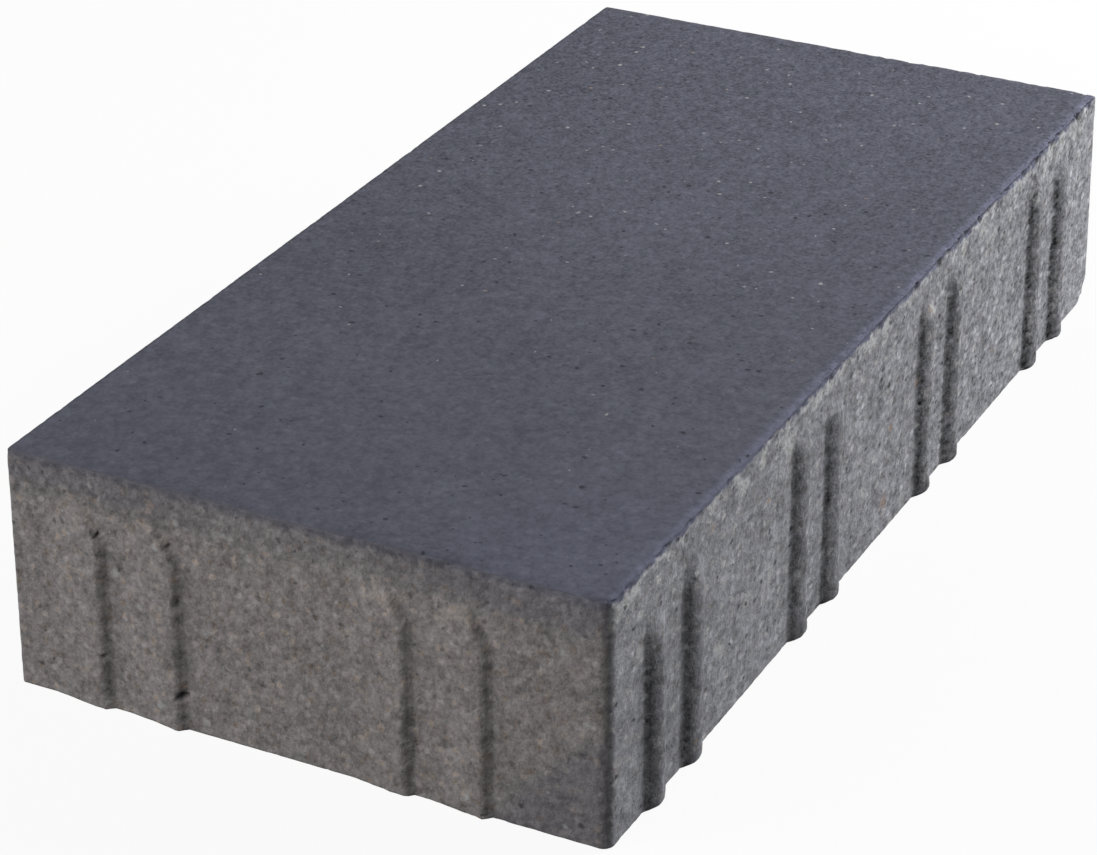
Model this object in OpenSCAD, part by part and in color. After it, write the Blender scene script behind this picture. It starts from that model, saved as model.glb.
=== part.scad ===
// Concrete paving stone with moulded spacer ribs on its four upright sides.
// Lies flat: length along X, width along Y, the bed face on Z = 0, the wearing face on top.

/* [Body] */
// Length between the two end faces, ribs left out
body_l = 197; // [90:0.5:300]
// Width between the two long sides, ribs left out
body_w = 97; // [60:0.5:200]
// Height from the bed face to the wearing face
body_h = 40; // [30:0.5:100]
// Radius of the four upright corners
corner_r = 0.8; // [0.8:0.1:4]
// Width and height of the chamfer round the top face
arris = 0.4; // [0.2:0.1:0.7]

/* [Ribs] */
// Radius of a rib's round section
rib_r = 4.5; // [3.5:0.25:10]
// How far a rib stands out from its side
rib_proud = 1.4; // [0.8:0.1:2.5]
// Height over which the top of a rib runs out into its side
runout_h = 5.5; // [3:0.25:10]
// Distance between the two ribs of a pair
rib_gap = 12.5; // [10:0.25:18]
// Distance from one pair of ribs to the next
pair_pitch = 51; // [36:0.5:80]

/* [Rib rows] */
// Shift of the row along a long side, away from its middle
side_shift = -1; // [-8:0.1:8]
// Distance from the top face down to the rib tops on a long side
side_stop = 6; // [3:0.25:12]
// Shift of the row along an end, away from its middle
end_shift = 4.1; // [-8:0.1:8]
// Distance from the top face down to the rib tops on an end
end_stop = 7.5; // [3:0.25:12]

/* [Hidden] */
$fn = 96;
// Depth of a rib's axis behind the face that it stands on
rib_sink = rib_r - rib_proud;
// Width of a rib where it meets its face
rib_w = 2 * sqrt(pow(rib_r, 2) - pow(rib_sink, 2));
// Radius of the arc that brings a rib's top back into its face
runout_r = (pow(runout_h, 2) + pow(rib_proud, 2)) / (2 * rib_proud);
// How far the cutters of the chamfer run past the stone
over = (corner_r - arris) / 2;
// Middle of each upright corner's round, from the middle of the stone
corner_x = body_l / 2 - corner_r;
corner_y = body_w / 2 - corner_r;

// Pairs of ribs that fit on a face between its two round corners
function pair_count(face_l, shift) =
    1 + floor((face_l - 2 * (corner_r + abs(shift)) - rib_gap - rib_w) / pair_pitch);

// Places of the ribs along a face, from its middle
function rib_places(pairs, shift) =
    [for (i = [0 : pairs - 1], half = [-0.5, 0.5]) shift + (i - (pairs - 1) / 2) * pair_pitch + half * rib_gap];

// Outline of the stone in plan
module plan() {
    square([2 * corner_x, body_w], center = true);
    square([body_l, 2 * corner_y], center = true);
    for (x = [-corner_x, corner_x], y = [-corner_y, corner_y])
        translate([x, y]) circle(corner_r);
}

// Section of the chamfer's cutter, with the upright face on the Y axis and the top face at body_h
module arris_section() {
    polygon([
        [-arris - over, body_h + over],
        [over, body_h - arris - over],
        [over, body_h + over]
    ]);
}

// Straight chamfer cutter along the +X face, between two corners that are run apart
module straight_arris(face_x, run) {
    translate([face_x, run / 2, 0]) rotate([90, 0, 0]) linear_extrude(run) arris_section();
}

// Chamfer cutters round the whole top
module top_arris() {
    for (turn = [0, 180]) rotate(turn) {
        straight_arris(body_l / 2, 2 * corner_y);
        rotate(90) straight_arris(body_w / 2, 2 * corner_x);
        translate([corner_x, corner_y, 0]) rotate_extrude(angle = 90) translate([corner_r, 0]) arris_section();
        translate([corner_x, -corner_y, 0]) rotate(-90)
            rotate_extrude(angle = 90) translate([corner_r, 0]) arris_section();
    }
}

// Half section of an upright rib: a round bar whose top curves in towards its axis
module rib_section(stop) {
    runout_z = body_h - stop - runout_h;
    square([rib_r, runout_z]);
    intersection() {
        translate([rib_r - runout_r, runout_z]) circle(runout_r);
        translate([0, runout_z]) square([rib_r, runout_h + stop / 2]);
    }
}

// Row of ribs on the face at -Y, which is face_l long and face_y from the middle of the stone
module rib_row(face_l, face_y, shift, stop) {
    for (x = rib_places(pair_count(face_l, shift), shift))
        translate([x, rib_sink - face_y, 0]) rotate_extrude() rib_section(stop);
}

module paving_stone() {
    color("#5b5d63") {
        difference() {
            linear_extrude(body_h) plan();
            top_arris();
        }
        // Turned half round in plan, the stone is the same again
        for (turn = [0, 180]) rotate(turn) {
            rib_row(body_l, body_w / 2, side_shift, side_stop);
            rotate(-90) rib_row(body_w, body_l / 2, -end_shift, end_stop);
        }
    }
}

paving_stone();
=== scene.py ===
import math

import bpy
from mathutils import Matrix, Vector


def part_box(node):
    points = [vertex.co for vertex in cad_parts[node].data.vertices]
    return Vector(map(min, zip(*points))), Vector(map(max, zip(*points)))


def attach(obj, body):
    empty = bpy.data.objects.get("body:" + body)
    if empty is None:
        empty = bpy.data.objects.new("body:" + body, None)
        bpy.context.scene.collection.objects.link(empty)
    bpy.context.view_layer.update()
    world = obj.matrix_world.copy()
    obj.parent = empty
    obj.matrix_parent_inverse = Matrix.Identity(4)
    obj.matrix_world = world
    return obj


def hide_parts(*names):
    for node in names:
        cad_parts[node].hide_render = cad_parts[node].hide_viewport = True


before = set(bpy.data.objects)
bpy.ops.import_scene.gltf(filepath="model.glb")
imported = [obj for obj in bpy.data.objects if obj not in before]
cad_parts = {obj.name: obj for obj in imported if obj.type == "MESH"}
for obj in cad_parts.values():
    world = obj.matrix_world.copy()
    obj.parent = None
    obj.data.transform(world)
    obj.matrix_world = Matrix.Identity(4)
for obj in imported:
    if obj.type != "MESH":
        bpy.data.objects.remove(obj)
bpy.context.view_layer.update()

mm = 0.001  # sizes below and inside the node trees are in millimetres
hair = 0.01  # a point this near to a face counts as on it
sliver = 0.001  # what stays of a rib that has run out, so that nothing is divided by zero
tiny = 0.000001  # the same for the roots of squares

stoneLow, stoneHigh = (Vector(corner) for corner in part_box("paving_stone"))
print("frame loaded, stone", [round(s / mm, 2) for s in stoneHigh - stoneLow], "mm")


# a wire is a node's output, and can be added, scaled and divided like a number
class Wire:
    def __init__(self, socket):
        self.socket = socket
        self.tree = socket.id_data

    def op(self, operation, *others):
        node = newNode(self.tree, "ShaderNodeMath", operation=operation)
        for slot, value in zip(node.inputs, (self,) + others):
            plug(slot, value)
        return Wire(node.outputs[0])

    def __add__(self, other):
        return self.op("ADD", other)

    def __sub__(self, other):
        return self.op("SUBTRACT", other)

    def __rsub__(self, other):
        return self.op("MULTIPLY", -1.0).op("ADD", other)

    def __mul__(self, other):
        return self.op("MULTIPLY", other)

    def __truediv__(self, other):
        return self.op("DIVIDE", other)

    __radd__ = __add__
    __rmul__ = __mul__


def plug(slot, value):
    if isinstance(value, Wire):
        slot.id_data.links.new(value.socket, slot)
    else:
        slot.default_value = value


def newNode(tree, kind, **settings):
    node = tree.nodes.new(kind)
    for name, value in settings.items():
        setattr(node, name, value)
    return node


# ramp from low, where value is start or before, to high, where it is end or past it
def smoothStep(value, start, end, low=0.0, high=1.0):
    node = newNode(value.tree, "ShaderNodeMapRange", interpolation_type="SMOOTHSTEP")
    for slot, part in zip(node.inputs, (value, start, end, low, high)):
        plug(slot, part)
    return Wire(node.outputs[0])


def vectorOp(operation, *values):
    tree = next(v.tree for v in values if isinstance(v, Wire))
    node = newNode(tree, "ShaderNodeVectorMath", operation=operation)
    slots = [node.inputs[0], node.inputs["Scale"]] if operation == "SCALE" else node.inputs
    for slot, value in zip(slots, values):
        plug(slot, value)
    return Wire(node.outputs["Value" if operation == "DISTANCE" else "Vector"])


def splitVector(vector):
    node = newNode(vector.tree, "ShaderNodeSeparateXYZ")
    plug(node.inputs[0], vector)
    return [Wire(out) for out in node.outputs]


def joinVector(tree, x, y, z):
    node = newNode(tree, "ShaderNodeCombineXYZ")
    for slot, value in zip(node.inputs, (x, y, z)):
        plug(slot, value)
    return Wire(node.outputs[0])


seedStep = (17.3, -9.1, 5.7)  # from one seed's stretch of the noise to the next
spotCore = 0.35  # share of a spot's radius that is full


# each pattern reads its own stretch of the noise
def moved(place, seed):
    return vectorOp("ADD", place, tuple(seed * step for step in seedStep))


# noise from -0.5 to 0.5 times amount, with features about size mm across
def noise(place, size, seed, detail=2.0, roughness=0.5, amount=1.0):
    node = newNode(place.tree, "ShaderNodeTexNoise")
    plug(node.inputs["Vector"], moved(place, seed))
    plug(node.inputs["Scale"], 1.0 / size)
    plug(node.inputs["Detail"], detail)
    plug(node.inputs["Roughness"], roughness)
    return (Wire(node.outputs[0]) - 0.5) * amount


# cell pattern: distance in mm from the nearest cell's middle, and that cell's three random numbers
def cells(place, size, seed):
    node = newNode(place.tree, "ShaderNodeTexVoronoi")
    plug(node.inputs["Vector"], moved(place, seed))
    plug(node.inputs["Scale"], 1.0 / size)
    return [Wire(node.outputs["Distance"]) * size] + splitVector(Wire(node.outputs["Color"]))


# the same place pushed about a little, so that spots come out ragged
def shaken(place, size, seed, amount):
    node = newNode(place.tree, "ShaderNodeTexNoise")
    plug(node.inputs["Vector"], moved(place, seed))
    plug(node.inputs["Scale"], 1.0 / size)
    plug(node.inputs["Detail"], 1.0)
    push = vectorOp("SUBTRACT", Wire(node.outputs["Color"]), (0.5, 0.5, 0.5))
    return vectorOp("ADD", place, vectorOp("SCALE", push, amount))


# round spots in a share of the cells: 1 in the middle of a spot, 0 outside it, and a random number for each
def spots(place, size, seed, share, small, large):
    distance, pick, girth, lot = cells(place, size, seed)
    radius = girth * girth * (large - small) + small
    return smoothStep(distance / radius, 1.0, spotCore) * pick.op("LESS_THAN", share), lot


# camera, where the picture was taken from
view = {
    "place": (-452.29, -219.37, 276.0),  # from the middle of the bed face
    "azimuth": -63.03,
    "elevation": 28.06,
    "roll": -0.09,
    "lens": 113.02,
    "sensor": 36.0,
    "nearest": 10.0,  # nothing nearer is seen
}


def addCamera():
    camera = bpy.data.objects.new("camera", bpy.data.cameras.new("camera"))
    bpy.context.collection.objects.link(camera)
    camera.data.lens = view["lens"]
    camera.data.sensor_width = view["sensor"]
    camera.data.clip_start = mm * view["nearest"]
    turn = Matrix.Rotation(math.radians(view["azimuth"]), 4, "Z")
    tilt = Matrix.Rotation(math.radians(90.0 - view["elevation"]), 4, "X")
    roll = Matrix.Rotation(math.radians(view["roll"]), 4, "Z")
    camera.matrix_world = Matrix.Translation(mm * Vector(view["place"])) @ turn @ tilt @ roll
    bpy.context.scene.camera = camera


addCamera()
print("camera placed")


# the stone: sizes that are inputs of its shape tree
stone = {
    "Rib proud": 1.4,
    "Rib radius": 4.5,
    "Rib gap": 12.5,
    "Pair pitch": 50.9,
    "Runout height": 5.5,
    "Side shift": -1.7,
    "Side stop": 4.0,
    "End shift": 4.8,
    "End pitch": 50.1,
    "End stop": 5.8,
    "End proud": 1.2,  # the ribs on the ends are worn, steep on one flank and long on the other
    "End steep": 4.0,
    "End gentle": 6.0,
    "Low rib": 3.2,  # the first rib on a long side stops short by this much
    "Low pair": -0.4,  # and its whole pair by this much
    "Long runout": 0.8,  # that pair's run-out is longer by this share
    "Later ribs": 0.77,  # height of the ribs after the first pair
    "Corner radius": 0.4,
    "Worn corner": 1.4,  # one upright corner is rounder by this much
    "Arris": 0.3,  # middle radius of the worn top edge
    "Sag": 0.15,  # drop of the top towards its edge
    "Foot edge": 0.3,  # radius of the edge round the bed face
    "Grain depth": 0.11,
    "Pit depth": 0.9,
    "Knock": 0.8,  # one foot corner is knocked off
    "Lean": 1.2,  # the far end leans out by this much at its foot
    "Side lean": 0.55,  # and the long sides by this much, most of it towards one end
}
bodyLength = (stoneHigh.x - stoneLow.x) / mm - 2 * stone["Rib proud"]
bodyWidth = (stoneHigh.y - stoneLow.y) / mm - 2 * stone["Rib proud"]
bodyHeight = (stoneHigh.z - stoneLow.z) / mm
shapeInputs = {"Length": bodyLength, "Width": bodyWidth, "Height": bodyHeight, **stone}

blank = {
    "cell": 0.6,  # on the upright faces
    "edgeSteps": (0.3, 0.3, 0.4, 0.5, 0.5),  # finer lines along every edge
    "topSkip": 2,  # the smooth top takes every second line
    "bedSkip": 4,
}


# lines across a face, fine at both ends and even between
def gridLines(low, high, skip):
    steps = list(blank["edgeSteps"])
    inner = high - low - 2 * sum(steps)
    count = skip * round(inner / blank["cell"] / skip)
    lines = [low]
    for width in steps + [inner / count] * count + steps[::-1]:
        lines.append(lines[-1] + width)
    return lines


# which of those lines a coarser face keeps
def keptLines(lines, skip):
    edge = len(blank["edgeSteps"])
    last = len(lines) - 1
    return list(range(edge)) + list(range(edge, last - edge, skip)) + list(range(last - edge, last + 1))


# plain box with a fine grid on its upright faces and coarser ones on top and below
def boxBlank():
    skip = max(blank["topSkip"], blank["bedSkip"])
    xs = gridLines(-bodyLength / 2, bodyLength / 2, skip)
    ys = gridLines(-bodyWidth / 2, bodyWidth / 2, skip)
    zs = gridLines(0.0, bodyHeight, 1)
    lastX, lastY, lastZ = len(xs) - 1, len(ys) - 1, len(zs) - 1
    points, faces, known = [], [], {}

    def point(i, j, k):
        if (i, j, k) not in known:
            known[i, j, k] = len(points)
            points.append((xs[i] * mm, ys[j] * mm, zs[k] * mm))
        return known[i, j, k]

    rim = [(i, 0) for i in range(lastX)] + [(lastX, j) for j in range(lastY)]
    rim += [(i, lastY) for i in range(lastX, 0, -1)] + [(0, j) for j in range(lastY, 0, -1)]
    for (i, j), (p, q) in zip(rim, rim[1:] + rim[:1]):
        for k in range(lastZ):
            faces.append((point(i, j, k), point(p, q, k), point(p, q, k + 1), point(i, j, k + 1)))

    for k, step, upward in ((lastZ, blank["topSkip"], True), (0, blank["bedSkip"], False)):
        keptX, keptY = keptLines(xs, step), keptLines(ys, step)
        for a, b in zip(keptX, keptX[1:]):
            for c, d in zip(keptY, keptY[1:]):
                ring = [(i, c) for i in (range(a, b) if c == 0 else (a,))]
                ring += [(b, j) for j in (range(c, d) if b == lastX else (c,))]
                ring += [(i, d) for i in (range(b, a, -1) if d == lastY else (b,))]
                ring += [(a, j) for j in (range(d, c, -1) if a == 0 else (d,))]
                face = [point(i, j, k) for i, j in ring]
                faces.append(face if upward else face[::-1])

    mesh = bpy.data.meshes.new("paving_stone_blank")
    mesh.from_pydata(points, [], faces)
    return mesh


# how the ribs are worn, and the painted shade along their feet; a pair of numbers is a ramp from where a
# thing starts to where it is full
ribWear = {
    "sideSeed": 3.0,
    "endSeed": 31.0,
    "stopRaise": 0.4,  # no two ribs stop at the same height, some of them higher by up to this
    "fullFoot": (0.5, 6.0),  # all ribs stand full at the foot
    "gone": 1.05,  # share of the run-out at which a rib is gone
    "fillet": 0.4,
    "tipSlant": 0.9,  # on the ends the tip slants in from the steep side
    "endSet": 0.35,  # and the whole rib sits aside by this much
    "steepShare": 0.12,  # how much of its width is the steep flank
    "gentleFall": 1.15,
    "tipDome": 0.7,
    "endTaper": 0.12,  # share of its height that an end rib loses on the way up
    "endRagged": 1.6,
    "endTips": 0.8,
    "tipNear": (4.5, 2.0),
    "tipStarts": (0.5, 2.5),
    "tipEnds": (9.0, 5.5),
    "flank": (-2.8, 1.8, 0.4),  # distance from the rib, then the half width of the line
    # painted shade beside the rib feet, given like the flank
    "shadeBefore": (-2.9, 1.3, 0.1),
    "shadeAfter": (2.0, 1.5, 0.3),
    "shadeAfterShare": 0.8,
    "shadeTop": (4.0, 1.0),
}


# along a row of paired ribs: the distance from the nearest one, how far a point is up its run-out,
# and how far it belongs to the lower ribs past the first pair
def nearestRib(size, along, z, shift, pitch, stop, lowRib, seed):
    period = (along - shift) / pitch  # counts pairs from the middle of the row
    fromPair = (period.op("FRACT") - 0.5) * pitch
    fromRib = fromPair - fromPair.op("SIGN") * size["Rib gap"] * 0.5
    lot = newNode(along.tree, "ShaderNodeTexWhiteNoise", noise_dimensions="1D")
    plug(lot.inputs["W"], period.op("FLOOR") * 2.0 + fromPair.op("GREATER_THAN", 0.0) + seed)
    firstPair = period.op("LESS_THAN", -1.0)  # only the long sides have one so far out
    firstRib = period.op("LESS_THAN", -1.5)
    lower = Wire(lot.outputs[0]) - ribWear["stopRaise"] + lowRib * firstRib + size["Low pair"] * firstPair
    longer = size["Long runout"] * firstPair + 1.0
    climb = (z - size["Height"] + stop + lower) / longer + size["Runout height"]
    later = (1.0 - firstPair) * smoothStep(z, *ribWear["fullFoot"])
    return fromRib, climb.op("MAXIMUM", 0.0), later


# round bar sunk in the face, its top growing flatter and narrower until it is gone
def sideRibHeight(size, fromRib, climb, later):
    left = smoothStep(climb / size["Runout height"], ribWear["gone"], 0.0, sliver, 1.0)
    proud = size["Rib proud"] * left * (1.0 - later * (1.0 - size["Later ribs"]))
    fullSquare = size["Rib proud"] * (size["Rib radius"] * 2.0 - size["Rib proud"])
    halfSquare = fullSquare * (left * 0.5 + 0.5)  # half its width at the foot, squared
    radius = (halfSquare + proud * proud) / (proud * 2.0)
    chord = (radius * radius - fromRib * fromRib).op("MAXIMUM", 0.0).op("SQRT")
    return (chord - radius + proud).op("SMOOTH_MAX", 0.0, ribWear["fillet"])


# the same rib as it is on the ends, worn away to one side
def endRibHeight(size, fromRib, climb, worn):
    climbed = (climb / size["Runout height"]).op("MINIMUM", 1.0)
    dome = 1.0 - climbed.op("POWER", 2.0)
    steep = size["End steep"] * (1.0 - climbed * ribWear["tipSlant"])
    gentle = size["End gentle"] * dome.op("SQRT") + sliver
    across = (fromRib + steep - ribWear["endSet"]) / (steep + gentle)  # 0 at the steep foot, 1 at the other
    rise = 1.0 - (1.0 - across / ribWear["steepShare"]).op("MAXIMUM", 0.0).op("POWER", 2.0)
    fall = (1.0 - across).op("MAXIMUM", 0.0).op("POWER", ribWear["gentleFall"])
    return rise.op("MAXIMUM", 0.0) * fall * dome.op("POWER", ribWear["tipDome"]) * size["End proud"] * worn


# the crumbling place round the top of a rib
def ribTip(fromRib, climb):
    near = smoothStep(fromRib.op("ABSOLUTE"), *ribWear["tipNear"])
    return near * smoothStep(climb, *ribWear["tipStarts"]) * smoothStep(climb, *ribWear["tipEnds"])


# upright line beside a rib
def lineBeside(fromRib, aside, outer, inner):
    return smoothStep((fromRib - aside).op("ABSOLUTE"), outer, inner)


# painted shade along both feet of a rib, mostly on the foot that faces away from the light; the weaker line
# past the crest dims the lit far flank
def ribFootShade(fromRib, climb):
    before = lineBeside(fromRib, *ribWear["shadeBefore"])
    after = lineBeside(fromRib, *ribWear["shadeAfter"]) * ribWear["shadeAfterShare"]
    return (before + after) * smoothStep(climb, *ribWear["shadeTop"])


# patterns over the stone; amount is in mm where a pattern moves something
patterns = {
    "edgeWave": dict(size=7.0, seed=1, amount=0.3),
    "edgeGrain": dict(size=1.6, seed=2, detail=3.0, roughness=0.6, amount=0.8),
    "nick": dict(size=3.4, seed=3, roughness=0.6),
    "ribWave": dict(size=8.0, seed=4, amount=0.3),
    "ribGrain": dict(size=1.5, seed=5, roughness=0.6, amount=0.7),
    "ribTop": dict(size=2.3, seed=6, detail=3.0, roughness=0.6, amount=2.4),
    "knock": dict(size=3.0, seed=7, amount=2.0),
    "pebbles": dict(size=2.0, seed=8),
    "grain": dict(size=1.4, seed=9, detail=3.0, roughness=0.6, amount=1.2),
    "pits": dict(size=2.0, seed=10, detail=3.0, roughness=0.62),
    "paleSpots": dict(size=6.5, seed=11, share=0.9, small=0.9, large=2.3),
    "swell": dict(size=28.0, seed=12, amount=0.12),
    "ripple": dict(size=3.0, seed=13, amount=0.04),
    "wash": dict(size=14.0, seed=14, detail=3.0, amount=6.0),
    "pigmentLine": dict(size=3.0, seed=15, detail=3.0, roughness=0.6, amount=4.0),
    "skin": dict(size=4.5, seed=16, detail=3.0, roughness=0.6),
    "mottle": dict(size=7.0, seed=17, detail=3.0, roughness=0.55),
    "cloud": dict(size=45.0, seed=18),
    "tear": dict(size=2.8, seed=19, detail=3.0, roughness=0.6),
    "edgeHighlight": dict(size=3.0, seed=26, detail=3.0, roughness=0.6, amount=0.9),
    "stain": dict(size=9.0, seed=27, amount=0.6),
    "ribWear": dict(size=4.0, seed=28, roughness=0.6, amount=0.9),
    "paleShake": dict(size=1.5, seed=31, amount=1.5),
    "crumble": dict(size=1.3, seed=35, roughness=0.6),
}

# edges, faces and casting faults; a pair of numbers is a ramp from where a thing starts to where it is full,
# with its strength at both ends after it where that isn't none to all
wear = {
    "rough": (30.0, -30.0, 0.15, 1.0),  # over the width, so that the long edge at +Y stays crisp
    "nick": (0.06, 0.22),
    "nickDepth": 1.1,
    "footWander": 0.7,  # the foot edge has this share of the top edge's wander
    "footNick": 0.4,
    "edgeLeast": 0.1,
    "edgeMost": 1.4,
    "sagWidth": 1.9,
    "tear": (0.03, 0.18),
    "tearLeast": 0.4,  # depth of the torn line, and what a tear adds
    "tearMore": 1.4,
    "tearFoot": (1.25, 0.75),
    "tearTop": (0.05, 0.35),
    "pulled": (-90.0, 90.0),  # over the length, worse towards the far end
    "tornAll": 0.2,
    "tornTear": 0.5,
    "tornPulled": 0.3,
    "tornDepth": 0.5,
    "knock": (4.5, 0.5),
    "knockAxis": 0.58,  # share of the knock that falls on each axis
    "lean": (60.0, 98.0),
    "sideLean": (-60.0, 98.0, 0.35, 1.0),
    "leanWidth": (20.0, 48.0),  # off the middle, so that the middle of the bed stays put
    "fromFace": (0.3, 0.0),  # the upright faces
    "fromTop": (0.2, 2.0),  # and how far below the top their grain starts
    "pebbleRadius": 0.7,
    "pebbleHeight": 0.35,
    "cluster": (0.06, 0.2),  # where the mottle is high, pits on the ends crowd together
    "pitTips": 0.04,
    "pitFlank": 0.07,
    "pitCluster": 0.05,
    "pit": (0.2, 0.3),
    "endRelief": 1.2,  # the worn ribs are rougher
    "crumble": (0.0, 0.2),
    "crumbleReach": (1.3, 0.2),
    "crumbleDepth": 0.35,
    "edgeHighlight": (1.8, 0.6),
    "stainFoot": 5.0,
    "stainHeight": 13.0,
    "stainSide": 48.0,
    "stainWidth": 17.0,
    "stain": (1.1, 0.85),
    "cornerTurn": (-0.4, 0.4),
    "endTop": (0.6, 0.0),
    "pigmentTop": (0.0, 0.5),
    "onTop": (0.05, 0.25),
    "wash": (7.5, 4.0),
    "washWidth": (8.0, 30.0, 0.24, 0.44),
    "skinDepth": (2.5, 8.0),
    "skinLoss": 0.3,
    "skinMore": 0.04,
}


# share by which a point that lies a and b inside a quarter round's band has to move back to its arc
def roundOff(a, b):
    return 1.0 - a.op("MAXIMUM", b) / (a * a + b * b + tiny).op("SQRT")


def storeValue(tree, before, name, value, kind="FLOAT"):
    keep = newNode(tree, "GeometryNodeStoreNamedAttribute", data_type=kind, domain="POINT")
    tree.links.new(before.outputs[0], keep.inputs["Geometry"])
    keep.inputs["Name"].default_value = name
    plug(next(slot for slot in keep.inputs if slot.name == "Value" and slot.enabled), value)
    return keep


def stoneTree(material):
    tree = bpy.data.node_groups.new("paving stone shape", "GeometryNodeTree")
    tree.interface.new_socket("Geometry", in_out="INPUT", socket_type="NodeSocketGeometry")
    for name, value in shapeInputs.items():
        tree.interface.new_socket(name, in_out="INPUT", socket_type="NodeSocketFloat").default_value = value
    tree.interface.new_socket("Geometry", in_out="OUTPUT", socket_type="NodeSocketGeometry")
    given = newNode(tree, "NodeGroupInput")
    size = {name: Wire(given.outputs[name]) for name in shapeInputs}

    # every pattern is read where a point lay on the blank
    position = vectorOp("SCALE", Wire(newNode(tree, "GeometryNodeInputPosition").outputs[0]), 1.0 / mm)
    marked = storeValue(tree, given, "blankPlace", position, "FLOAT_VECTOR")
    mark = newNode(tree, "GeometryNodeInputNamedAttribute", data_type="FLOAT_VECTOR")
    mark.inputs["Name"].default_value = "blankPlace"
    place = Wire(next(out for out in mark.outputs if out.name == "Attribute" and out.enabled))

    def pattern(name):
        return noise(place, **patterns[name])

    x, y, z = splitVector(place)
    fromX, fromY = x.op("ABSOLUTE"), y.op("ABSOLUTE")
    halfX, halfY, height = size["Length"] * 0.5, size["Width"] * 0.5, size["Height"]
    corner = size["Corner radius"] + size["Worn corner"] * x.op("LESS_THAN", 0.0) * y.op("LESS_THAN", 0.0)
    depth = height - z

    # upright corners: square turned to round about each corner's middle
    coreX = fromX.op("MINIMUM", halfX - corner)
    coreY = fromY.op("MINIMUM", halfY - corner)
    pastX, pastY = fromX - coreX, fromY - coreY
    past = pastX.op("MAXIMUM", pastY)
    spread = (pastX * pastX + pastY * pastY + tiny).op("SQRT")
    outX, outY = pastX / spread, pastY / spread
    inside = (halfX - fromX).op("MINIMUM", halfY - fromY)  # in from the upright faces
    onSide = pastY.op("GREATER_THAN", corner - hair)
    onEnd = pastX.op("GREATER_THAN", corner - hair)

    # worn top edge and foot edge, one long side crisper than the other
    rough = smoothStep(y, *wear["rough"])
    wander = (pattern("edgeWave") + pattern("edgeGrain")) * rough
    nick = smoothStep(pattern("nick"), *wear["nick"]) * rough
    arris = size["Arris"] + wander + nick * wear["nickDepth"]
    foot = size["Foot edge"] + wander * wear["footWander"] + nick * wear["footNick"]
    arris = arris.op("MAXIMUM", wear["edgeLeast"]).op("MINIMUM", wear["edgeMost"])
    foot = foot.op("MAXIMUM", wear["edgeLeast"]).op("MINIMUM", wear["edgeMost"])
    topIn = (arris - inside).op("MAXIMUM", 0.0)
    topDown = (arris - depth).op("MAXIMUM", 0.0)
    footIn = (foot - inside).op("MAXIMUM", 0.0)
    footUp = (foot - z).op("MAXIMUM", 0.0)
    topBack, footBack = roundOff(topIn, topDown), roundOff(footIn, footUp)
    back = topIn * topBack + footIn * footBack
    sag = (1.0 - inside / wear["sagWidth"]).op("MAXIMUM", 0.0).op("POWER", 2.0)
    sag = sag * depth.op("LESS_THAN", hair) * size["Sag"]
    rise = footUp * footBack - topDown * topBack - sag

    # spacer ribs, the same again when the stone is turned half round
    signX, signY = x.op("SIGN"), y.op("SIGN")
    alongSide, alongEnd = x * signY * -1.0, y * signX * -1.0
    ragged = pattern("ribWave") + pattern("ribGrain")
    ribZ = z + pattern("ribTop")
    sideFrom, sideClimb, later = nearestRib(
        size, alongSide + ragged, ribZ, size["Side shift"], size["Pair pitch"],
        size["Side stop"], size["Low rib"], ribWear["sideSeed"])
    endFrom, endClimb = nearestRib(
        size, alongEnd + ragged * ribWear["endRagged"], ribZ, size["End shift"], size["End pitch"],
        size["End stop"], 0.0, ribWear["endSeed"])[:2]
    worn = (1.0 - z / height * ribWear["endTaper"]) * (1.0 + pattern("ribWear"))
    sideRib = sideRibHeight(size, sideFrom, sideClimb, later)
    endRib = endRibHeight(size, endFrom, endClimb, worn)
    rib = (sideRib * onSide).op("MAXIMUM", endRib * onEnd)
    endTips = ribTip(endFrom, endClimb) * onEnd * ribWear["endTips"]
    tips = (ribTip(sideFrom, sideClimb) * onSide).op("MAXIMUM", endTips)
    flank = lineBeside(endFrom, *ribWear["flank"]) * onEnd  # steep side of the worn ribs

    # torn line where the long sides were pulled from the mould, just under the top edge
    tear = smoothStep(pattern("tear"), *wear["tear"])
    reach = wear["tearLeast"] + tear * wear["tearMore"]
    pulled = smoothStep(x, *wear["pulled"])
    torn = smoothStep(depth / reach, *wear["tearFoot"]) * smoothStep(depth, *wear["tearTop"]) * onSide
    torn = torn * (wear["tornAll"] + tear * wear["tornTear"] + pulled * wear["tornPulled"])

    # clean shape, with its knocked corner and leaning foot
    grow = past - back + rib - torn * wear["tornDepth"]
    fromKnock = vectorOp("DISTANCE", place, joinVector(tree, halfX, halfY * -1.0, 0.0))
    knock = smoothStep(fromKnock + pattern("knock"), *wear["knock"]) * size["Knock"] * wear["knockAxis"]
    lean = smoothStep(x, *wear["lean"]) * depth / height * size["Lean"]
    sideLean = smoothStep(alongSide, *wear["sideLean"]) * depth / height * size["Side lean"]
    sideLean = sideLean * smoothStep(fromY, *wear["leanWidth"])
    shaped = joinVector(tree, (coreX + outX * grow) * signX - knock + lean,
                        (coreY + outY * grow + sideLean) * signY + knock, z + rise + knock)
    setShape = newNode(tree, "GeometryNodeSetPosition")
    tree.links.new(marked.outputs[0], setShape.inputs["Geometry"])
    plug(setShape.inputs["Position"], vectorOp("SCALE", shaped, mm))

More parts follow.
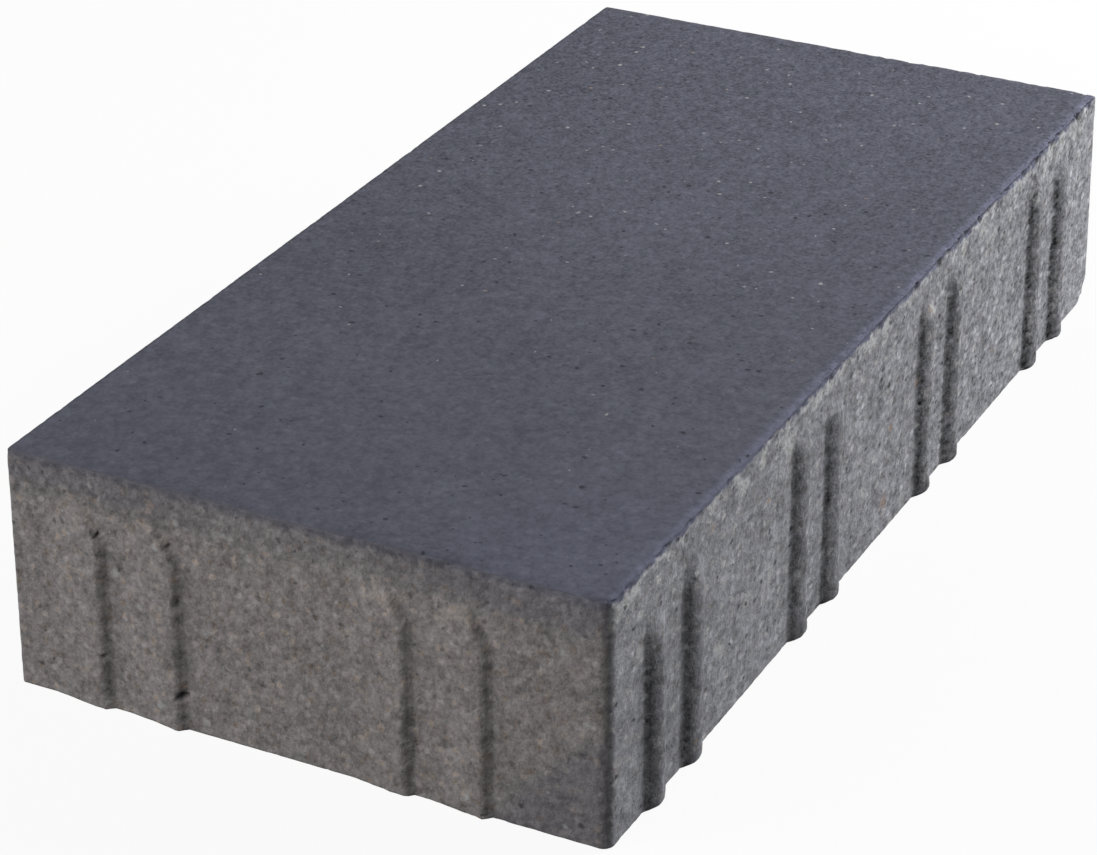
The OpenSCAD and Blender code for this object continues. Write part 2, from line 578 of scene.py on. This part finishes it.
    # grain and pits, along the normals of the clean shape
    upright = smoothStep(inside, *wear["fromFace"]) * smoothStep(depth, *wear["fromTop"])
    fromPebble = cells(place, **patterns["pebbles"])[0]
    relief = (wear["pebbleRadius"] - fromPebble) * wear["pebbleHeight"] + pattern("grain")
    relief = relief * (endRib * onEnd * wear["endRelief"] + 1.0)
    mottle = pattern("mottle")
    cluster = smoothStep(mottle, *wear["cluster"]) * onEnd
    loosened = (tips * wear["pitTips"] + flank * wear["pitFlank"]).op("MAXIMUM", cluster * wear["pitCluster"])
    pits = smoothStep(pattern("pits") + loosened, *wear["pit"]) * upright
    crumbled = smoothStep(pattern("crumble"), *wear["crumble"])
    crumbled = crumbled * smoothStep(inside + depth, *wear["crumbleReach"])
    lift = upright * (relief * size["Grain depth"] + pattern("swell")) - pits * size["Pit depth"]
    lift = lift + pattern("ripple") - crumbled * rough * wear["crumbleDepth"]
    offBed = z.op("GREATER_THAN", hair)  # the bed face stays flat
    setGrain = newNode(tree, "GeometryNodeSetPosition")
    tree.links.new(setShape.outputs[0], setGrain.inputs["Geometry"])
    normal = Wire(newNode(tree, "GeometryNodeInputNormal").outputs[0])
    plug(setGrain.inputs["Offset"], vectorOp("SCALE", normal, lift * offBed * mm))

    # what the concrete needs to know about the shape
    stained = (z - wear["stainFoot"]).op("MAXIMUM", 0.0) / wear["stainHeight"]
    stained = stained + (y + wear["stainSide"]) / wear["stainWidth"] + pattern("stain")
    paleSpots = spots(shaken(place, **patterns["paleShake"]), **patterns["paleSpots"])[0]
    told = {
        "flatness": 1.0 - upright,
        "pitDepth": pits,
        "tips": tips,
        # painted shade along the rib feet
        "foot": ribFootShade(sideFrom, sideClimb) * onSide,
        "rib": rib / size["Rib proud"],
        # painted highlight along the long top edges, strongest on the -Y side
        "edge": smoothStep(halfY - fromY + pattern("edgeHighlight"), *wear["edgeHighlight"]) * rough,
        "stain": smoothStep(stained, *wear["stain"]) * x.op("LESS_THAN", 0.0),
        "endFace": smoothStep(pastX - pastY, *wear["cornerTurn"]) * smoothStep(inside, *wear["endTop"]),
        "sideDepth": depth + pattern("pigmentLine") * smoothStep(depth, *wear["pigmentTop"]),
        "tear": tear,
        "onTop": smoothStep(inside, *wear["onTop"]),
        "wash": smoothStep(depth + pattern("wash"), *wear["wash"]) * smoothStep(fromY, *wear["washWidth"]),
        "skin": pattern("skin") - smoothStep(depth, *wear["skinDepth"]) * wear["skinLoss"] + wear["skinMore"],
        "paleGrain": paleSpots * upright,
        "mottle": mottle,
        "cloud": pattern("cloud"),
        # ramp towards the far end; the concrete paints light and shade with it, and strengthens the torn
        # line, grain and flecks
        "worn": pulled,
    }
    last = setGrain
    for name, value in told.items():
        last = storeValue(tree, last, name, value)
    forget = newNode(tree, "GeometryNodeRemoveAttribute")
    forget.inputs["Name"].default_value = "blankPlace"
    smooth = newNode(tree, "GeometryNodeSetShadeSmooth")
    realize = newNode(tree, "GeometryNodeRealizeInstances")
    dress = newNode(tree, "GeometryNodeSetMaterial")
    dress.inputs["Material"].default_value = material
    chain = [last, forget, smooth, realize, dress, newNode(tree, "NodeGroupOutput")]
    for before, after in zip(chain, chain[1:]):
        tree.links.new(before.outputs[0], after.inputs[0])
    return tree


def makeStone(material):
    maker = bpy.data.objects.new("stone_maker", boxBlank())
    bpy.context.collection.objects.link(maker)
    tree = stoneTree(material)
    shaper = maker.modifiers.new("shape", "NODES")
    shaper.node_group = tree
    for item in tree.interface.items_tree:
        if item.in_out == "INPUT" and item.name in shapeInputs:
            shaper[item.identifier] = float(shapeInputs[item.name])
    graph = bpy.context.evaluated_depsgraph_get()
    mesh = bpy.data.meshes.new_from_object(maker.evaluated_get(graph))
    mesh.name = "paving_stone_concrete"
    bpy.data.objects.remove(maker)
    piece = bpy.data.objects.new("paving_stone_concrete", mesh)
    bpy.context.collection.objects.link(piece)
    return piece


# concrete: pigmented wearing face, grey sides, browner ends
concrete = {
    "wearingFace": (0.1115, 0.1153, 0.1458),
    "edgeHighlight": (0.150, 0.156, 0.216),  # paler line along the long edges of the wearing face: painted highlight where the rounded arris catches the light
    "side": (0.290, 0.292, 0.317),
    "warmSide": (0.290, 0.273, 0.268),
    "end": (0.298, 0.277, 0.274),
    "warmEnd": (0.335, 0.274, 0.232),
    "paleSkin": (0.47, 0.475, 0.485),
    "warmSkin": (0.40, 0.385, 0.375),
    "lightGrain": (0.50, 0.50, 0.50),
    "rustGrain": (0.36, 0.27, 0.22),
    # near black of the pores, also painted into the pits and the torn groove as shade
    "poreAndShade": (0.026, 0.026, 0.030),
    "roughness": 0.9,
    "specular": 0.08,
    "bump": 0.35,
    "bumpLoss": 0.7,  # share of the bump that the smooth top goes without
}

# what the concrete is mixed of
mix = {
    "lieFlat": 0.7,  # grains in the long sides are longer than they are high
    "shake": dict(size=0.8, seed=20, amount=0.9),
    "grain": dict(size=1.6, seed=22, detail=3.0, roughness=0.62),
    "pebbles": dict(size=1.3, seed=23),
    "sand": dict(size=3.6, seed=24, share=0.55, small=0.25, large=1.0),
    "pores": dict(size=1.9, seed=25, small=0.24),
    "fine": dict(size=0.6, seed=29, roughness=0.6),
    "flecks": dict(size=2.2, seed=30, small=0.16),
    "speckle": dict(size=0.7, seed=32, roughness=0.6),
    "pebbleEdge": (0.8, 0.3),
    "palePebble": 0.8,  # more pale pebbles than dark ones
    "darkPebble": 0.22,
    "warmPebble": (0.5, 1.0),
}

# strengths at the near end of the stone, and what the far end adds
grading = {
    "topFine": (0.42, 1.4),
    "topGrain": (0.83, 0.35),
    "topPebbles": (0.26, 0.3),
    "speckle": (0.8, 0.9),
    "sideGrain": (0.78, 0.3),
    # painted shade on the ribs and along their feet, more at the far end
    "ribShade": (0.28, 0.14),
    "footShade": (0.28, 0.15),
    # pale flecks on the wearing face, more at the far end, partly painted raking light
    "fleckShare": (0.15, 0.45),
    "fleckSize": (0.35, 0.2),
    "fleckLight": (0.6, 0.2),
}

# how much each thing lightens, darkens or warms the concrete; a pair of numbers is a ramp, as before
tone = {
    "top": 0.935,
    "topMottle": 0.35,
    "topCloud": 0.2,
    # the wearing face paler towards the far end: painted light
    "topFarLight": 0.12,
    "topSlope": 0.0009,  # darker towards +Y by this much for each mm
    "rim": (47.6, 48.3),  # dark rim on the crisp edge
    "rimDark": 0.3,
    "bloom": (45.0, 3.0),  # one corner of the top is paler
    "bloomShare": 0.3,
    "edgeGrain": 1.4,
    "side": (60.0, 98.0, 1.01, 1.06),
    "sideGrain": 1.6,
    "sidePebbles": 1.3,
    "sideMottle": 0.6,
    "ribSmooth": 0.3,  # share of the grain that a rib goes without
    "end": 1.0,
    "endGrain": 1.4,
    "endPebbles": 0.6,
    "endFine": 0.9,
    "endMottle": 0.6,
    "endShade": (10.0, 48.0),
    "endDark": 0.04,
    "warm": 0.8,
    "warmGrain": (-0.02, 0.12),
    "warmTips": 0.5,
    "skin": (0.02, 0.12),
    "skinGrain": 0.6,
    "skinShare": 0.8,
    "skinTone": 0.98,
    "skinToneGrain": 1.6,
    "sideLine": (1.1, 0.5),
    "sideLineGrain": 1.4,
    "endLine": (3.4, 0.0, 0.0, 0.8),
    "endLineGrain": 2.5,
    "stain": 0.4,
    "rusty": 0.1,  # share of the sand
    "rustyEnd": 0.2,
    "paleEndLoss": 0.75,
    "light": 0.8,
    "lightEndLoss": 0.2,
    "poreShare": 0.22,
    "poreMottle": 0.8,
    "poreMottleEnd": 2.2,
    "poreTop": 0.12,
    "poreSize": 0.8,
    "poreTopLoss": 0.15,
    "cluster": (0.05, 0.17),
    "crumbs": (0.29, 0.4),
    "crumbTips": 0.1,
    "crumbCluster": 0.1,
    "crumbDark": 0.7,
    "crumbClusterDark": 0.4,
    # the torn line, painted dark as the shade in its groove
    "tearReach": 0.5,
    "tearMore": 1.4,
    "tearGrain": 1.5,
    "tearLeast": 0.15,
    "tearFoot": (1.2, 0.8),
    "tearTop": (0.1, 0.3),
    "tornAll": 0.2,
    "tornTear": 0.5,
    "tornWorn": 0.5,
    "poreDark": 0.75,
    "poreEndLoss": 0.2,
    "holeShade": 0.8,
    "ribLoss": 0.4,  # holes show less on a rib
}


def mixColour(amount, first, second):
    node = newNode(amount.tree, "ShaderNodeMix", data_type="RGBA")
    plug(node.inputs[0], amount)
    for slot, colour in zip(node.inputs[6:8], (first, second)):
        plug(slot, colour if isinstance(colour, Wire) else (*colour, 1.0))
    return Wire(node.outputs[2])


def concreteMaterial():
    material = bpy.data.materials.new("pressed_concrete")
    material.use_nodes = True
    tree = material.node_tree
    shader = next(n for n in tree.nodes if n.type == "BSDF_PRINCIPLED")
    coords = newNode(tree, "ShaderNodeTexCoord")
    place = vectorOp("SCALE", Wire(coords.outputs["Object"]), 1.0 / mm)

    def told(name):
        return Wire(newNode(tree, "ShaderNodeAttribute", attribute_name=name).outputs["Fac"])

    def graded(name):
        near, added = grading[name]
        return worn * added + near

    # worn ramps up towards the far end; with it the top is painted paler and the ribs and their feet darker
    # there, painted light and shade, and the torn line, grain and flecks grow stronger
    onEnd, onTop, flatness, rib = told("endFace"), told("onTop"), told("flatness"), told("rib")
    mottle, cloud, worn, tips, tear = told("mottle"), told("cloud"), told("worn"), told("tips"), told("tear")
    onSide, upright = 1.0 - onEnd, 1.0 - flatness
    x, y, z = splitVector(place)
    depth = bodyHeight - z

    # grain, pebbles and speckle of the mix
    flat = joinVector(tree, x * (onTop * (1.0 - mix["lieFlat"]) + mix["lieFlat"]), y, z)
    loose = shaken(flat, **mix["shake"])
    grain = noise(flat, **mix["grain"])
    fine = noise(place, **mix["fine"])
    speckle = noise(flat, **mix["speckle"]) * graded("speckle")
    fromPebble, lot, warmth = cells(loose, **mix["pebbles"])[:3]
    pebble = smoothStep(fromPebble, *mix["pebbleEdge"])
    pebbleTone = pebble * (lot * lot * mix["palePebble"] - mix["darkPebble"])
    warm = pebble * smoothStep(warmth, *mix["warmPebble"])

    # wearing face
    topGrain = fine * graded("topFine") + grain * graded("topGrain") + pebbleTone * graded("topPebbles")
    topTone = topGrain + mottle * tone["topMottle"] + cloud * tone["topCloud"] + worn * tone["topFarLight"]
    topTone = topTone - y * tone["topSlope"] + tone["top"]
    topTone = topTone - smoothStep(y, *tone["rim"]) * tone["rimDark"]
    fromCorner = vectorOp("DISTANCE", place, (bodyLength * -0.5, bodyWidth * -0.5, bodyHeight))
    bloom = smoothStep(fromCorner, *tone["bloom"]) * tone["bloomShare"]
    # the painted highlight along the long edges, and the paler corner
    edge = (told("edge") * (grain * tone["edgeGrain"] + 1.0)).op("MAXIMUM", bloom)
    top = vectorOp("SCALE", mixColour(edge, concrete["wearingFace"], concrete["edgeHighlight"]), topTone)

    # long sides
    sideGrain = grain * tone["sideGrain"] + pebbleTone * tone["sidePebbles"] + speckle
    sideGrain = sideGrain * (1.0 - rib * tone["ribSmooth"]) * graded("sideGrain")
    sideTone = sideGrain + mottle * tone["sideMottle"] + smoothStep(x, *tone["side"])
    # the ribs and the lines at their feet are painted darker: painted shade
    sideTone = sideTone - rib * graded("ribShade") - told("foot") * graded("footShade")
    side = mixColour(warm * tone["warm"], concrete["side"], concrete["warmSide"])
    side = vectorOp("SCALE", side, sideTone)

    # ends
    endTone = grain * tone["endGrain"] + pebbleTone * tone["endPebbles"] + fine * tone["endFine"]
    endTone = endTone + mottle * tone["endMottle"] + tone["end"]
    endTone = endTone - smoothStep(y, *tone["endShade"]) * tone["endDark"]
    warmer = warm * tone["warm"] + tips * smoothStep(grain, *tone["warmGrain"]) * tone["warmTips"]
    end = vectorOp("SCALE", mixColour(warmer, concrete["end"], concrete["warmEnd"]), endTone)

    # pale skin of cement, left in patches on the upper part of the long sides
    skin = smoothStep(told("skin") + grain * tone["skinGrain"], *tone["skin"]) * onSide * tone["skinShare"]
    paleSkin = mixColour(warm, concrete["paleSkin"], concrete["warmSkin"])
    paleSkin = vectorOp("SCALE", paleSkin, grain * tone["skinToneGrain"] + tone["skinTone"])
    body = mixColour(skin, mixColour(onEnd, side, end), paleSkin)

    # pigment ends in a ragged line on the long sides and is washed further down the ends
    sideLine = smoothStep(told("sideDepth") + grain * tone["sideLineGrain"], *tone["sideLine"])
    endLine = smoothStep(depth + grain * tone["endLineGrain"], *tone["endLine"])
    endLine = endLine.op("MAXIMUM", told("wash")).op("MAXIMUM", told("stain") * tone["stain"])
    pigment = onEnd * endLine + onSide * sideLine
    colour = mixColour(pigment, body, top)

    # pale and rusty sand, and flecks on the wearing face, whose growth towards the far end is partly painted
    # raking light
    sand, kind = spots(loose, **mix["sand"])
    flecks = spots(loose, share=graded("fleckShare"), large=graded("fleckSize"), **mix["flecks"])[0]
    rusty = kind.op("LESS_THAN", onEnd * tone["rustyEnd"] + tone["rusty"])
    sandColour = mixColour(rusty, concrete["lightGrain"], concrete["rustGrain"])
    light = sand.op("MAXIMUM", told("paleGrain") * (1.0 - onEnd * tone["paleEndLoss"]))
    light = light * upright * (tone["light"] - onEnd * tone["lightEndLoss"])
    colour = mixColour(light + flecks * flatness * graded("fleckLight"), colour, sandColour)

    # pores and crumbled places, and painted shade in the pits and along the torn groove
    poreShare = mottle * (onEnd * tone["poreMottleEnd"] + tone["poreMottle"]) + tone["poreShare"]
    poreShare = poreShare + flatness * tone["poreTop"]
    poreSize = tone["poreSize"] - flatness * tone["poreTopLoss"]
    pores = spots(loose, share=poreShare, large=poreSize, **mix["pores"])[0]
    cluster = smoothStep(mottle, *tone["cluster"]) * onEnd
    loosened = tips * tone["crumbTips"] + cluster * tone["crumbCluster"]
    ribLoss = rib * tone["ribLoss"]
    crumbs = smoothStep(loosened - grain, *tone["crumbs"]) * upright
    crumbs = crumbs * (tone["crumbDark"] + cluster * tone["crumbClusterDark"] - ribLoss)
    reach = tear * tone["tearMore"] + grain * tone["tearGrain"] + tone["tearReach"]
    torn = smoothStep(depth / reach.op("MAXIMUM", tone["tearLeast"]), *tone["tearFoot"])
    torn = torn * smoothStep(z, *(bodyHeight - under for under in tone["tearTop"])) * onSide * (1.0 - onTop)
    torn = torn * (tone["tornAll"] + tear * tone["tornTear"] + worn * tone["tornWorn"])
    soft = pores.op("MAXIMUM", crumbs) * (tone["poreDark"] - onEnd * tone["poreEndLoss"] - ribLoss)
    # pits and the torn groove painted near black: painted shade in these recesses
    recessShade = told("pitDepth").op("MAXIMUM", torn) * (tone["holeShade"] - ribLoss * onSide)
    colour = mixColour(soft.op("MAXIMUM", recessShade), colour, concrete["poreAndShade"])
    plug(shader.inputs["Base Color"], colour)
    shader.inputs["Roughness"].default_value = concrete["roughness"]
    shader.inputs["Specular IOR Level"].default_value = concrete["specular"]

    bump = newNode(tree, "ShaderNodeBump")
    bump.inputs["Strength"].default_value = concrete["bump"]
    bump.inputs["Distance"].default_value = mm
    plug(bump.inputs["Height"], grain * (1.0 - flatness * concrete["bumpLoss"]))
    plug(shader.inputs["Normal"], Wire(bump.outputs[0]))
    return material


slab = makeStone(concreteMaterial())
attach(slab, "root")
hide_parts("paving_stone")
print("stone made,", sum(len(p.vertices) - 2 for p in slab.data.polygons), "triangles")


# floor and light
studio = {
    "floorSize": 14.0,
    "floorTone": 0.12,  # what the floor throws back on the stone
    "floorWhite": 0.9,  # the floor that the camera sees
    "floorGlow": 0.92,  # share of plain white in it
    "ambient": 0.09,
    "aim": (0.0, 0.0, 0.02),
    "panels": {  # place and edge in metres, power in watts
        "panel_right": ((0.61, -0.374, 0.277), 0.7, 10.3),
        "panel_left": ((-0.50, 0.42, 0.33), 0.7, 3.8),
    },
}


# 1 where the eye or a mirror looks, 0 where light is gathered
def seenRays(tree):
    path = newNode(tree, "ShaderNodeLightPath")
    rays = [Wire(path.outputs[name]) for name in ("Is Camera Ray", "Is Glossy Ray", "Is Transmission Ray")]
    return rays[0].op("MAXIMUM", rays[1]).op("MAXIMUM", rays[2])


def addFloor():
    half = studio["floorSize"] / 2
    mesh = bpy.data.meshes.new("floor")
    corners = [(-half, -half, 0), (half, -half, 0), (half, half, 0), (-half, half, 0)]
    mesh.from_pydata(corners, [], [(0, 1, 2, 3)])
    floor = bpy.data.objects.new("floor", mesh)
    bpy.context.collection.objects.link(floor)
    material = bpy.data.materials.new("pale_floor")
    material.use_nodes = True
    tree = material.node_tree
    tree.nodes.clear()
    matte = newNode(tree, "ShaderNodeBsdfDiffuse")
    matte.inputs["Color"].default_value = (*[studio["floorTone"]] * 3, 1.0)
    white = newNode(tree, "ShaderNodeBsdfDiffuse")
    white.inputs["Color"].default_value = (*[studio["floorWhite"]] * 3, 1.0)
    glow = newNode(tree, "ShaderNodeEmission")
    shown = newNode(tree, "ShaderNodeMixShader")
    shown.inputs[0].default_value = studio["floorGlow"]
    choose = newNode(tree, "ShaderNodeMixShader")
    plug(choose.inputs[0], seenRays(tree))
    out = newNode(tree, "ShaderNodeOutputMaterial")
    for start, end in ((white, shown.inputs[1]), (glow, shown.inputs[2]), (matte, choose.inputs[1]),
                       (shown, choose.inputs[2]), (choose, out.inputs["Surface"])):
        tree.links.new(start.outputs[0], end)
    mesh.materials.append(material)


def addPanel(name, place, edge, watts):
    light = bpy.data.lights.new(name, "AREA")
    light.size = edge
    light.energy = watts
    lamp = bpy.data.objects.new(name, light)
    bpy.context.collection.objects.link(lamp)
    lamp.location = place
    aim = Vector(studio["aim"]) - Vector(place)
    lamp.rotation_euler = aim.to_track_quat("-Z", "Y").to_euler()


def addWorld():
    world = bpy.data.worlds.new("studio")
    bpy.context.scene.world = world
    world.use_nodes = True
    tree = world.node_tree
    tree.nodes.clear()
    backdrop = newNode(tree, "ShaderNodeBackground")
    backdrop.inputs["Color"].default_value = (1.0, 1.0, 1.0, 1.0)
    plug(backdrop.inputs["Strength"], smoothStep(seenRays(tree), 0.0, 1.0, studio["ambient"], 1.0))
    out = newNode(tree, "ShaderNodeOutputWorld")
    tree.links.new(backdrop.outputs[0], out.inputs["Surface"])


addFloor()
addWorld()
for panelName, (panelPlace, panelEdge, panelWatts) in studio["panels"].items():
    addPanel(panelName, panelPlace, panelEdge, panelWatts)
bpy.context.scene.view_settings.view_transform = "Standard"
print("floor and light set")
